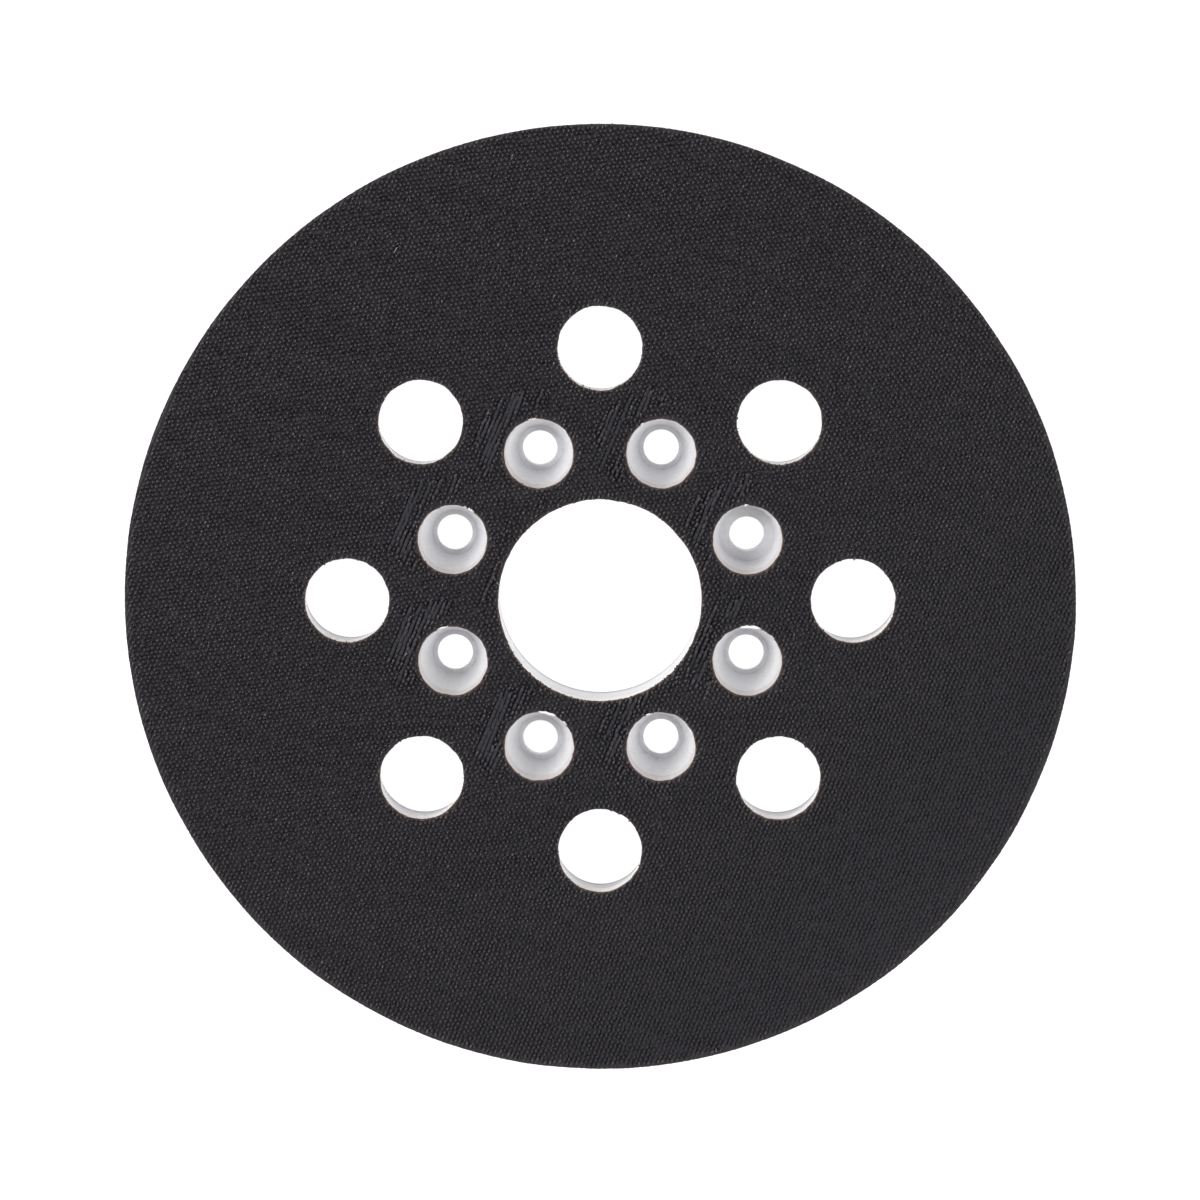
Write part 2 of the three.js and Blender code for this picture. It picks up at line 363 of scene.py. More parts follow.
FOAM_CELL = 0.42 * MM
FOAM_PIT_SHARE = 0.55
FOAM_PIT_DEPTH = 0.10 * MM
FOAM_EDGE_FADE = 8
FOAM_GRAIN_SIZE = 1.6 * MM
FOAM_GRAIN_DEPTH = 0.03 * MM
FOAM_RING_STEP = 0.17 * MM
FOAM_STEP = 0.24 * MM

BEAD_SIZES = (0.9 * MM, 0.3 * MM)
BEAD_DEPTH = 0.07 * MM
BOND_RING_STEP = 0.05 * MM
BOND_STEP = 0.35 * MM

BURR_SIZES = (0.36 * MM, 0.15 * MM)
HOLE_BURR = 0.10 * MM
OUTLINE_BURR = 0.04 * MM
FILM_ROUNDING = 0.06 * MM
FILM_RING_STEP = 0.11 * MM
FILM_STEP = 0.13 * MM


class Loop:
    """One round edge of a layer: the outline, or a hole."""

    def __init__(self, centre, radius_at, step, seed, is_hole=True, is_well=False):
        self.centre = centre
        self.radius_at = radius_at
        self.count = round(FULL_TURN * radius_at(FOAM_TOP) / step)
        self.seed = seed
        self.side = 1 if is_hole else -1
        self.is_well = is_well


def well_radius(level):
    share = (level - PLATE_TOP) / (SHEET_TOP - PLATE_TOP)
    return WELL_NECK_RADIUS + share * (WELL_MOUTH_RADIUS - WELL_NECK_RADIUS)


def layer_loops(outline_at, step):
    loops = [Loop((0, 0), outline_at, step, 0, is_hole=False)]
    loops.append(Loop((0, 0), lambda z: CENTRE_HOLE_RADIUS, step, CENTRE_SEED))
    for index, angle in enumerate(DUST_ANGLES):
        centre = polar(DUST_CIRCLE_RADIUS, angle)
        loops.append(Loop(centre, lambda z: DUST_HOLE_RADIUS, step, DUST_SEED + index))
    for index, angle in enumerate(WELL_ANGLES):
        centre = polar(SCREW_CIRCLE_RADIUS, angle)
        loops.append(Loop(centre, well_radius, step, WELL_SEED + index, is_well=True))
    return loops


def punch_wander(loop, angle):
    """How far a punched edge wanders from its circle; the same for every layer of one hole."""
    heading = Vector((math.cos(angle), math.sin(angle), 0))
    offset = Vector((0, 0, SEED_STRIDE * loop.seed))
    return sum(depth * noise.noise(lobes * heading + offset) for lobes, depth in PUNCH_WAVES)


def wall_points(loop, levels, relief):
    """One ring of points at each level; relief(point, loop) draws them into the material."""
    points = []
    for level in levels:
        for step in range(loop.count):
            angle = FULL_TURN * step / loop.count
            x, y = polar(loop.radius_at(level) + punch_wander(loop, angle), angle)
            point = Vector((loop.centre[0] + x, loop.centre[1] + y, level))
            inward = Vector((math.cos(angle), math.sin(angle), 0)) * loop.side
            points.append(point + inward * relief(point, loop))
    return points


def wall_faces(loop, start, level_count):
    """Quads between neighbouring rings, facing away from the material."""
    faces = []
    for row in range(level_count - 1):
        low = start + row * loop.count
        high = low + loop.count
        for step in range(loop.count):
            after = (step + 1) % loop.count
            wall = (low + step, low + after, high + after, high + step)
            faces.append(wall if loop.side < 0 else wall[::-1])
    return faces


def cap(points, rings, faces_up):
    """Triangles that close a layer between its outline and its holes."""
    flat = [[Vector((points[i].x, points[i].y, 0)) for i in ring] for ring in rings]
    order = [i for ring in rings for i in ring]
    triangles = []
    for corners in tessellate_polygon(flat):
        a, b, c = (points[order[i]] for i in corners)
        turn = (b - a).cross(c - a).z
        triangle = tuple(order[i] for i in corners)
        triangles.append(triangle if (turn > 0) == faces_up else triangle[::-1])
    return triangles


def pierced_layer(name, loops, levels, relief):
    """A closed disc with holes, with face attributes for its cut walls and for those in wells."""
    points, faces, in_well = [], [], []
    lowest, highest = [], []
    for loop in loops:
        start = len(points)
        points += wall_points(loop, levels, relief)
        lowest.append(list(range(start, start + loop.count)))
        highest.append(list(range(len(points) - loop.count, len(points))))
        walls = wall_faces(loop, start, len(levels))
        faces += walls
        in_well += [float(loop.is_well)] * len(walls)
    cut = [1.0] * len(faces)
    faces += cap(points, lowest, faces_up=False)
    faces += cap(points, highest, faces_up=True)
    mesh = bpy.data.meshes.new(name)
    mesh.from_pydata(points, [], faces)
    caps = [0.0] * (len(faces) - len(cut))
    for attribute, walls in (("cut", cut), ("well", in_well)):
        mesh.attributes.new(attribute, "FLOAT", "FACE").data.foreach_set("value", walls + caps)
    mesh.shade_smooth()
    mesh.set_sharp_from_angle(angle=SHARP_LAYER_ANGLE)
    return link(bpy.data.objects.new(name, mesh))


def spaced(low, high, step):
    return list(np.linspace(low, high, round((high - low) / step) + 1))


def two_noises(point, sizes, second_share):
    coarse, fine = sizes
    return noise.noise(point / coarse) + second_share * noise.noise(point / fine)


def foam_cushion():
    def outline(level):
        return FOAM_RADIUS - FOAM_EDGE_TAPER * (FOAM_TOP - level) / (FOAM_TOP - PLATE_TOP)

    def relief(point, loop):
        nearest = noise.voronoi(point / FOAM_CELL)[0][0]
        pit = max(0.0, 1 - nearest / FOAM_PIT_SHARE) ** 2
        grain = noise.noise(point / FOAM_GRAIN_SIZE) + 1
        edge = min(point.z - PLATE_TOP, FOAM_TOP - point.z) / (FOAM_TOP - PLATE_TOP)
        return FOAM_PIT_DEPTH * pit * min(1.0, FOAM_EDGE_FADE * edge) + FOAM_GRAIN_DEPTH * grain

    levels = spaced(PLATE_TOP, FOAM_TOP, FOAM_RING_STEP)
    foam = pierced_layer("foam_body", layer_loops(outline, FOAM_STEP), levels, relief)
    foam.data.materials.append(cream_foam())
    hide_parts("foam_cushion")
    return foam


def bond_film():
    def relief(point, loop):
        return -BEAD_DEPTH * max(0.0, two_noises(point, BEAD_SIZES, 0.4))

    levels = spaced(FOAM_TOP, BOND_TOP, BOND_RING_STEP)
    loops = layer_loops(lambda level: FOAM_RADIUS, BOND_STEP)
    film = pierced_layer("adhesive_layer", loops, levels, relief)
    film.data.materials.append(bond_adhesive())
    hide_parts("bond_film")
    return film


def hook_base():
    film_top = BOND_TOP + FILM_THICKNESS

    def relief(point, loop):
        burr = HOLE_BURR if loop.side > 0 else OUTLINE_BURR
        rounding = FILM_ROUNDING if point.z > film_top - FILM_RING_STEP / 2 else 0.0
        return burr * (two_noises(point, BURR_SIZES, 0.7) + 0.5) + rounding

    levels = spaced(BOND_TOP, film_top, FILM_RING_STEP)
    loops = layer_loops(lambda level: PAD_RADIUS, FILM_STEP)
    base = pierced_layer("hook_base_film", loops, levels, relief)
    base.data.materials.append(film_nylon())
    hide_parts("hook_sheet")
    return base


# ---- hooks --------------------------------------------------------------------------------------

# One hook's spine: (along X, height share, half length, half width, tilt of the section)
HOOK_SPINE = [
    (-0.03 * MM, 0.52, 0.080 * MM, 0.080 * MM, 0.1),
    (0.01 * MM, 0.84, 0.072 * MM, 0.077 * MM, 0.75),
    (0.12 * MM, 0.93, 0.062 * MM, 0.070 * MM, 1.75),
    (0.21 * MM, 0.72, 0.030 * MM, 0.045 * MM, 2.6),
]
HOOK_ROOT = (-0.04 * MM, -0.03 * MM, 0.135 * MM, 0.095 * MM, 0.0)
HOOK_SIZES = (0.9, 1.0)

# How much the hooks differ from each other
YAW_SPREAD = 0.2
LEAN_SPREAD = 0.12
PLACE_SPREAD = 0.04 * MM
COMBED_ORDER = 0.7

# Leans along the rows, in radians: of hooks as moulded, of worn lines and of combed hooks
MOULDED_LEAN = 0.38
LINE_LEAN = 0.35
COMBED_LEAN = 1.32
LEAN_POWER = 0.6

# Wear grows from 0 at the -X +Y edge of the pad to 1 at the +X -Y edge
WEAR_HEADING = math.radians(-45)
WORN_FLARE = 1.1
FLARE_POWER = 2.5
FLARE_GROWTH = 0.6
FLARE_DULLNESS = 1.25
WORN_LINE_SIZE = (4 * MM, 0.5 * MM)
WORN_LINE_DEPTH = 0.8
ROW_ALTERNATION = 0.3

# Combing flattens hooks in arcs beside the wells and the centre hole: (middle, half width)
WELL_ARC = (6.7 * MM, 1.7 * MM)
WELL_ARC_HEADING = math.radians(152)
CENTRE_ARC = (14.6 * MM, 1.5 * MM)
CENTRE_ARC_HEADING = math.radians(-20)
CENTRE_ARC_SCALE = 15 * MM
CENTRE_ARC_SHARE = 0.5
COMBED_LINE_SIZE = (14 * MM, 0.42 * MM)
COMBED_LINE_MEAN = 0.75
COMBED_LINE_DEPTH = 1.4
COMBED_THRESHOLD = 0.30
COMBED_STEEPNESS = 2.6
COMBED_EDGE_GAP = 0.3 * MM
COMBED_WIDENING = 1.8
COMBED_GROWTH = 0.6

# Shades, which the hook material reads from 0 to 1: only the few glinting hooks reach past the cap
SHADE_SHAPE = (2.2, 2.8)
SHADE_STREAK_SIZE = (0.9 * MM, 22 * MM)
SHADE_STREAK_DEPTH = 0.35
SHADE_LINE_DEPTH = 0.5
SHADE_CAP = 0.94
GLINTING_SHARE = 0.003
STAIN_REACH = 1.2 * MM

# Seeds of the three kinds of streak
WORN_LINES = 6.7
COMBED_LINES = 3.1
SHADE_STREAKS = 8.4


def hook_template():
    """One hook, its crook over +X: rings of four corners up the stem and down to the tip."""
    height = SHEET_TOP - (BOND_TOP + FILM_THICKNESS)
    rings = [(along, share * height, *section) for along, share, *section in HOOK_SPINE]
    corners = []
    for along, up, half_length, half_width, tilt in [HOOK_ROOT] + rings:
        for sx, sy in ((-1, -1), (1, -1), (1, 1), (-1, 1)):
            corners.append((
                along + sx * half_length * math.cos(tilt),
                sy * half_width,
                up - sx * half_length * math.sin(tilt),
            ))
    faces = [(3, 2, 1, 0)]
    last = 4 * len(rings)
    for low in range(0, last, 4):
        for side in range(4):
            after = (side + 1) % 4
            faces.append((low + side, low + after, low + 4 + after, low + 4 + side))
    faces.append((last, last + 1, last + 2, last + 3))
    return np.array(corners), np.array(faces)


def hook_places():
    """Root and row of every hook: every other row is set back by half a pitch."""
    along = np.array(polar(1, HOOK_ROW_ANGLE))
    across = np.array(polar(1, HOOK_ROW_ANGLE - math.pi / 2))
    rows = int(PAD_RADIUS / HOOK_ROW_SPACING) + 1
    steps = int(PAD_RADIUS / HOOK_PITCH) + 1
    row, step = np.meshgrid(np.arange(-rows, rows + 1), np.arange(-steps, steps + 1), indexing="ij")
    row, step = row.ravel(), step.ravel()
    shift = (step + 0.5 * (row % 2)) * HOOK_PITCH
    places = shift[:, None] * along + (row * HOOK_ROW_SPACING)[:, None] * across
    keep = rim_distance(places) > HOOK_EDGE_MARGIN
    keep &= np.hypot(*places.T) < PAD_RADIUS - HOOK_OUTLINE_MARGIN
    return places[keep], row[keep]


def rim_distance(places):
    """Distance from each place to the nearest cut edge of the sheet, below 0 where it is off it."""
    from_axis = np.hypot(*places.T)
    nearest = np.minimum(PAD_RADIUS - from_axis, from_axis - CENTRE_HOLE_RADIUS)
    for circle, angles, hole in (
        (DUST_CIRCLE_RADIUS, DUST_ANGLES, DUST_HOLE_RADIUS),
        (SCREW_CIRCLE_RADIUS, WELL_ANGLES, WELL_MOUTH_RADIUS),
    ):
        for angle in angles:
            nearest = np.minimum(nearest, np.hypot(*(places - polar(circle, angle)).T) - hole)
    return nearest


def streaks(places, size, seed):
    """Smooth noise from -1 to 1 over the places, of one size along the rows and one across them."""
    along_size, across_size = size
    along = places @ polar(1 / along_size, HOOK_ROW_ANGLE)
    across = places @ polar(1 / across_size, HOOK_ROW_ANGLE - math.pi / 2)
    return np.array([noise.noise(Vector((a, b, seed))) for a, b in zip(along, across)])


def band(distance, middle, half_width):
    """1 on a line at the middle distance, fading to 0 on both sides of it."""
    return np.exp(-(((distance - middle) / half_width) ** 2))


def combed_share(places):
    """0 to 1: how far each hook is combed flat along its row.

    Hooks are combed where the sheet bows round its holes: in a crescent on the -X +Y side of each
    well and on both sides of the centre hole. The hooks on a cut edge stay upright.
    """
    share = CENTRE_ARC_SHARE * band(np.hypot(*places.T), *CENTRE_ARC)
    share *= np.abs(places @ polar(1 / CENTRE_ARC_SCALE, CENTRE_ARC_HEADING)) ** 2
    for angle in WELL_ANGLES:
        offset = places - polar(SCREW_CIRCLE_RADIUS, angle)
        distance = np.hypot(*offset.T)
        facing = np.clip(offset @ polar(1, WELL_ARC_HEADING) / distance, 0, 1)
        share = np.maximum(share, band(distance, *WELL_ARC) * facing)
    share *= COMBED_LINE_MEAN + COMBED_LINE_DEPTH * streaks(places, COMBED_LINE_SIZE, COMBED_LINES)
    inland = np.clip((rim_distance(places) - COMBED_EDGE_GAP) / MM, 0, 1)
    return np.clip(COMBED_STEEPNESS * (share - COMBED_THRESHOLD), 0, 1) * inland


def rotations(axis, angles):
    """One 3x3 rotation matrix for each angle about a row axis, 0 for X, 1 for Y and 2 for Z."""
    cosine, sine = np.cos(angles), np.sin(angles)
    first, second = [(1, 2), (2, 0), (0, 1)][axis]
    matrices = np.zeros((len(angles), 3, 3))
    matrices[:, axis, axis] = 1
    matrices[:, first, first] = cosine
    matrices[:, second, second] = cosine
    matrices[:, first, second] = -sine
    matrices[:, second, first] = sine
    return matrices


def hook_turns(rng, combed, wear, lines):
    """Each hook's rotation: leaned along its row, tilted across it and turned out of it."""
    count = len(combed)
    loose = 1 - COMBED_ORDER * combed
    yaw = HOOK_ROW_ANGLE + rng.normal(0, YAW_SPREAD, count) * loose
    lean = rng.normal(0, LEAN_SPREAD, count) * loose
    lean += MOULDED_LEAN * (1 - wear) ** LEAN_POWER * (1 - combed)
    lean += LINE_LEAN * lines + COMBED_LEAN * combed
    tilt = rng.normal(0, LEAN_SPREAD, count) * loose
    return rotations(2, yaw) @ rotations(0, tilt) @ rotations(1, lean)


def hook_stretch(rng, combed, flared):
    """Each hook's size along, across and up: worn hooks are splayed, combed ones drawn out."""
    size = rng.uniform(*HOOK_SIZES, len(combed))
    splay = FLARE_GROWTH * flared
    return size[:, None] * np.stack([
        1 + splay,
        1 + COMBED_WIDENING * combed + splay,
        1 + COMBED_GROWTH * combed - splay,
    ], 1)


def hook_shapes(rng, corners, places, combed, turns, stretch):
    """The template's corners for each hook, stretched, turned and set on the film."""
    shapes = np.einsum("nij,nkj->nki", turns, corners[None] * stretch[:, None])
    jitter = rng.normal(0, PLACE_SPREAD, places.shape) * (1 - COMBED_ORDER * combed)[:, None]
    shapes[:, :, :2] += (places + jitter)[:, None, :]
    shapes[:, :, 2] += BOND_TOP + FILM_THICKNESS
    shapes[:, :, 2] = np.minimum(shapes[:, :, 2], SHEET_TOP)
    return shapes


def hook_finish(rng, places, combed, flared, lines):
    """What the hook material reads: each hook's shade, dullness and stain, from 0 to 1."""
    count = len(places)
    shade = rng.beta(*SHADE_SHAPE, count)
    shade += SHADE_STREAK_DEPTH * streaks(places, SHADE_STREAK_SIZE, SHADE_STREAKS)
    shade = np.minimum(shade + SHADE_LINE_DEPTH * lines, SHADE_CAP)
    shade[rng.random(count) < GLINTING_SHARE] = 1.0
    near_edge = np.clip((STAIN_REACH - rim_distance(places)) / MM, 0, 1)
    stain = near_edge * rng.uniform(0, 1, count) ** 3
    dull = np.maximum(combed, np.minimum(FLARE_DULLNESS * flared, 1))
    return {"shade": shade, "dull": dull, "stain": stain}


def hook_field():
    """Every hook on the sheet, in pieces that each cover one sector."""
    rng = np.random.default_rng(SEED)
    corners, quads = hook_template()
    places, row = hook_places()
    combed = combed_share(places)
    wear = 0.5 + places @ polar(0.5 / PAD_RADIUS, WEAR_HEADING)
    lines = WORN_LINE_DEPTH * streaks(places, WORN_LINE_SIZE, WORN_LINES)
    lines = wear * (lines + ROW_ALTERNATION * (-1.0) ** row)
    flared = WORN_FLARE * wear ** FLARE_POWER * (1 - combed)
    turns = hook_turns(rng, combed, wear, lines)
    stretch = hook_stretch(rng, combed, flared)
    shapes = hook_shapes(rng, corners, places, combed, turns, stretch)
    finish = hook_finish(rng, places, combed, flared, lines)
    sector = ((np.arctan2(places[:, 1], places[:, 0]) / FULL_TURN) % 1 * HOOK_PIECES).astype(int)
    material = hook_nylon()
    for index in range(HOOK_PIECES):
        chosen = np.flatnonzero(sector == index)
        chosen_finish = {name: values[chosen] for name, values in finish.items()}
        piece = hook_piece(f"hooks_{index + 1}", shapes[chosen], quads, chosen_finish)
        piece.data.materials.append(material)
        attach(piece, "root")


def hook_piece(name, shapes, quads, finish):
    """One mesh of many hooks, with its finish as vertex attributes."""
    count, corners = shapes.shape[:2]
    faces = (quads[None] + corners * np.arange(count)[:, None, None]).reshape(-1, 4)
    mesh = bpy.data.meshes.new(name)
    mesh.vertices.add(count * corners)
    mesh.vertices.foreach_set("co", shapes.reshape(-1))
    mesh.loops.add(faces.size)
    mesh.loops.foreach_set("vertex_index", faces.reshape(-1).astype(np.int32))
    mesh.polygons.add(len(faces))
    mesh.polygons.foreach_set("loop_start", np.arange(0, faces.size, 4, dtype=np.int32))
    mesh.update(calc_edges=True)
    for attribute, values in finish.items():
        layer = mesh.attributes.new(attribute, "FLOAT", "POINT")
        layer.data.foreach_set("value", np.repeat(values, corners).astype(np.float32))
    bake_cells(mesh, count, corners, faces)
    mesh.shade_smooth()
    return link(bpy.data.objects.new(name, mesh))


def bake_cells(mesh, count, corners, faces):
    """UV layer that gives each hook a cell of its own, unrolled ring by ring."""
    grid = math.ceil(math.sqrt(count))
    width = 1 - 2 * HOOK_CELL_MARGIN
    hook = np.repeat(np.arange(count), corners)
    corner = np.tile(np.arange(corners), count)
    ring, side = corner // 4, corner % 4
    u = (hook % grid + HOOK_CELL_MARGIN + width * side / 3) / grid
    v = (hook // grid + HOOK_CELL_MARGIN + width * ring / (corners / 4 - 1)) / grid
    uv = np.stack([u, v], 1)[faces.reshape(-1)]
    mesh.uv_layers.new(name="OFBake").data.foreach_set("uv", uv.reshape(-1).astype(np.float32))


# ---- torn foam, frays and lint ------------------------------------------------------------------

# Foam torn up over the rims of the wells by the punch, chosen from how the wells look:
# (well number, from and to in degrees, thickness in mm). Offset and rise are a mean and a wander.
TORN_LIPS = [
    (0, 88, 97, 0.22), (1, 118, 126, 0.16), (2, 93, 108, 0.26), (3, 52, 64, 0.34),
    (3, 66, 71, 0.28), (4, 96, 116, 0.20), (5, 60, 92, 0.34), (5, 38, 48, 0.24),
    (6, 106, 116, 0.18), (7, 66, 104, 0.46), (7, 40, 50, 0.22),
]
LIP_POINTS = 12
LIP_OFFSET = (0.04 * MM, 0.10 * MM)
LIP_RISE = (0.25 * MM, 0.2 * MM)
LIP_WANDERING = 7
STRAND_SIDES = 6
STRAND_LUMP_SIZE = 0.25 * MM
STRAND_LUMP_DEPTH = 0.45

# Frays start inside the film's edge and bend and climb at random, angles in radians
FRAY_POINTS = 7
FRAY_INSET = 0.05 * MM
FRAY_REACH = (0.4, 1)
FRAY_SCATTER = 0.9
FRAY_CLIMB = (0.1, 0.9)
FRAY_BEND = 0.8
FRAY_DROOP = 0.6

# Lint lies just under the tips of the hooks
LINT_COUNT = 6
LINT_POINTS = 9
LINT_PLACES = (0.3, 0.93)
LINT_CLEARANCE = 2 * MM
LINT_BEND = 1.2
LINT_LENGTHS = (0.9 * MM, 2.2 * MM)
LINT_THICKNESS = 0.03 * MM
LINT_DEPTH = 0.05 * MM


def strand(path, thickness):
    """Points and faces of a closed strand that swells from its ends to its middle along the path."""
    sides = STRAND_SIDES
    points = [path[0]]
    for index in range(1, len(path) - 1):
        ahead = (path[index + 1] - path[index - 1]).normalized()
        across = ahead.orthogonal().normalized()
        over = ahead.cross(across)
        girth = thickness / 2 * math.sin(math.pi * index / (len(path) - 1)) ** 0.5
        for step in range(sides):
            turn = FULL_TURN * step / sides
            lump = noise.noise(path[index] / STRAND_LUMP_SIZE + Vector((step, 0, 0)))
            radius = girth * (1 + STRAND_LUMP_DEPTH * lump)
            points.append(path[index] + radius * (math.cos(turn) * across + math.sin(turn) * over))
    points.append(path[-1])
    faces = []
    last = len(points) - 1
    final = last - sides
    for step in range(sides):
        after = (step + 1) % sides
        faces.append((0, 1 + after, 1 + step))
        faces.append((last, final + step, final + after))
        for low in range(1, final, sides):
            faces.append((low + step, low + after, low + sides + after, low + sides + step))
    return points, faces


def strand_group(name, strands, material):
    points, faces = [], []
    for path, thickness in strands:
        more_points, more_faces = strand(path, thickness)
        faces += [tuple(corner + len(points) for corner in face) for face in more_faces]
        points += more_points
    group = link(solid(name, points, faces))
    group.data.shade_smooth()
    group.data.materials.append(material)
    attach(group, "root")


def torn_lips():
    """Wandering strands of foam that rise over the rim of a well and go down again."""
    strands = []
    for well, start, end, thickness in TORN_LIPS:
        centre = Vector((*polar(SCREW_CIRCLE_RADIUS, WELL_ANGLES[well]), 0))
        path = []
        for share in np.linspace(0, 1, LIP_POINTS):
            angle = math.radians(start + (end - start) * share)
            wander = noise.noise(Vector((LIP_WANDERING * share, well, start)))
            x, y = polar(WELL_MOUTH_RADIUS + LIP_OFFSET[0] + LIP_OFFSET[1] * wander, angle)
            rise = (LIP_RISE[0] + LIP_RISE[1] * wander) * math.sin(math.pi * share)
            path.append(centre + Vector((x, y, BOND_TOP + FILM_THICKNESS + rise)))
        strands.append((path, thickness * MM))
    return strands


def frays(rng, centre, radius, spans, count, length, thickness):
    """Short curved strands out of a hole's edge, in spans from one angle to another, in degrees."""
    strands = []
    for _ in range(count):
        start, end = spans[rng.integers(len(spans))]
        angle = math.radians(rng.uniform(start, end))
        reach = length * rng.uniform(*FRAY_REACH)
        heading = angle + math.pi + rng.normal(0, FRAY_SCATTER)
        root = Vector((*centre, BOND_TOP + rng.uniform(0, 0.8) * FILM_THICKNESS))
        root += Vector((*polar(radius + FRAY_INSET, angle), 0))
        climb = rng.uniform(*FRAY_CLIMB)
        bend = rng.normal(0, FRAY_BEND)
        path = []
        for share in np.linspace(0, 1, FRAY_POINTS):
            x, y = polar(reach * share, heading + bend * share)
            path.append(root + Vector((x, y, reach * climb * share * (1 - FRAY_DROOP * share))))
        strands.append((path, thickness))
    return strands


def lint(rng):
    """A few pale fibres caught on the hook face, none near a hole or the edge."""
    strands = []
    for _ in range(LINT_COUNT):
        x, y = polar(PAD_RADIUS * rng.uniform(*LINT_PLACES), rng.uniform(0, FULL_TURN))
        if rim_distance(np.array([[x, y]]))[0] < LINT_CLEARANCE:
            continue
        heading, bend = rng.uniform(0, FULL_TURN), rng.normal(0, LINT_BEND)
        length = rng.uniform(*LINT_LENGTHS)
        path = [Vector((x, y, SHEET_TOP - LINT_DEPTH))]
        for share in np.linspace(0, 1, LINT_POINTS)[1:]:
            dx, dy = polar(length / (LINT_POINTS - 1), heading + bend * share)
            path.append(path[-1] + Vector((dx, dy, 0)))
        strands.append((path, LINT_THICKNESS))
    return strands


def torn_pieces():
    """Everything torn or frayed round the holes, as one group of foam and one of film."""
    rng = np.random.default_rng(SEED + 1)
    foam_bits = torn_lips()
    film_bits = frays(rng, (0, 0), CENTRE_HOLE_RADIUS, spans=[(200, 345)],
                      count=170, length=0.24 * MM, thickness=0.13 * MM)
    foam_bits += frays(rng, (0, 0), CENTRE_HOLE_RADIUS, spans=[(300, 350), (205, 222)],
                       count=26, length=0.9 * MM, thickness=0.06 * MM)
    for angle in WELL_ANGLES:
        centre = polar(SCREW_CIRCLE_RADIUS, angle)
        film_bits += frays(rng, centre, WELL_MOUTH_RADIUS, spans=[(0, 360)],
                           count=36, length=0.20 * MM, thickness=0.12 * MM)
        foam_bits += frays(rng, centre, WELL_MOUTH_RADIUS, spans=[(40, 130)],
                           count=3, length=0.6 * MM, thickness=0.05 * MM)
    for angle in DUST_ANGLES:
        centre = polar(DUST_CIRCLE_RADIUS, angle)
        film_bits += frays(rng, centre, DUST_HOLE_RADIUS, spans=[(180, 360)],
                           count=30, length=0.22 * MM, thickness=0.10 * MM)
    strand_group("torn_foam_bits", foam_bits + lint(rng), cream_foam())
    strand_group("torn_film_bits", film_bits, film_nylon())


# ---- support plate ------------------------------------------------------------------------------

OVERCUT = 1 * MM
FLANGE_SEGMENTS = 256
RING_SEGMENTS = 192
HUB_SEGMENTS = 128
HOLE_SEGMENTS = 96
COLLAR_SEGMENTS = 80
BOSS_SEGMENTS = 64
CUP_RINGS = 9
LIP_RINGS = 5
ARC_STEPS = 3
SHARP_PLATE_ANGLE = math.radians(32)

# How far up the painted shade on each kind of hole fades out, as a share of the plate's height
CENTRE_PAINTED_SHADE_REACH = 0.5
DUST_PAINTED_SHADE_REACH = 1.05


def corner_arc(before, corner, after, radius):
    """Small arc in place of a profile's corner, kept clear of the arcs at its neighbours."""
    back, on = before - corner, after - corner
    reach = min(radius, back.length * 0.45, on.length * 0.45)
    start, end = corner + back.normalized() * reach, corner + on.normalized() * reach
    shares = [step / ARC_STEPS for step in range(ARC_STEPS + 1)]
    return [start.lerp(corner, share).lerp(corner.lerp(end, share), share) for share in shares]


def rounded(profile, radius):
    """Profile with every corner that lies off the axis turned into a small arc."""
    result = []
    for index, corner in enumerate(profile):
        after = profile[(index + 1) % len(profile)]
        result += [corner] if corner.x == 0 else corner_arc(profile[index - 1], corner, after, radius)
    return result


def turned(profile, segments, centre=(0, 0)):
    """Closed solid of revolution about an upright axis; the profile starts and ends on it."""
    points = [Vector((centre[0], centre[1], profile[0].y))]
    inner = profile[1:-1]
    for corner in inner:
        for step in range(segments):
            x, y = polar(corner.x, FULL_TURN * step / segments)
            points.append(Vector((centre[0] + x, centre[1] + y, corner.y)))
    points.append(Vector((centre[0], centre[1], profile[-1].y)))
    faces = []
    last = len(points) - 1
    top = 1 + (len(inner) - 1) * segments
    for step in range(segments):
        after = (step + 1) % segments
        faces.append((0, 1 + after, 1 + step))
        faces.append((last, top + step, top + after))
        for row in range(len(inner) - 1):
            low = 1 + row * segments
            high = low + segments
            faces.append((low + step, low + after, high + after, high + step))
    return points, faces


def solid(name, points, faces):
    mesh = bpy.data.meshes.new(name)
    mesh.from_pydata(points, [], faces)
    return bpy.data.objects.new(name, mesh)


def turned_solid(name, profile, segments, centre=(0, 0), fillet=MOULD_FILLET):
    corners = [Vector(corner) for corner in profile]
    return solid(name, *turned(rounded(corners, fillet), segments, centre))


def bar_profile(radius, low, high):
    return [(0, low), (radius, low), (radius, high), (0, high)]


def flange_profile():
    lip = PLATE_RADIUS - RIM_WALL
    return [
        (0, FLANGE_UNDERSIDE),
        (FLANGE_TAPER_RADIUS, FLANGE_UNDERSIDE),
        (lip, FLANGE_EDGE_UNDERSIDE),
        (lip, RIM_LEVEL),
        (PLATE_RADIUS, RIM_LEVEL),
        (PLATE_RADIUS, PLATE_TOP),
        (0, PLATE_TOP),
    ]


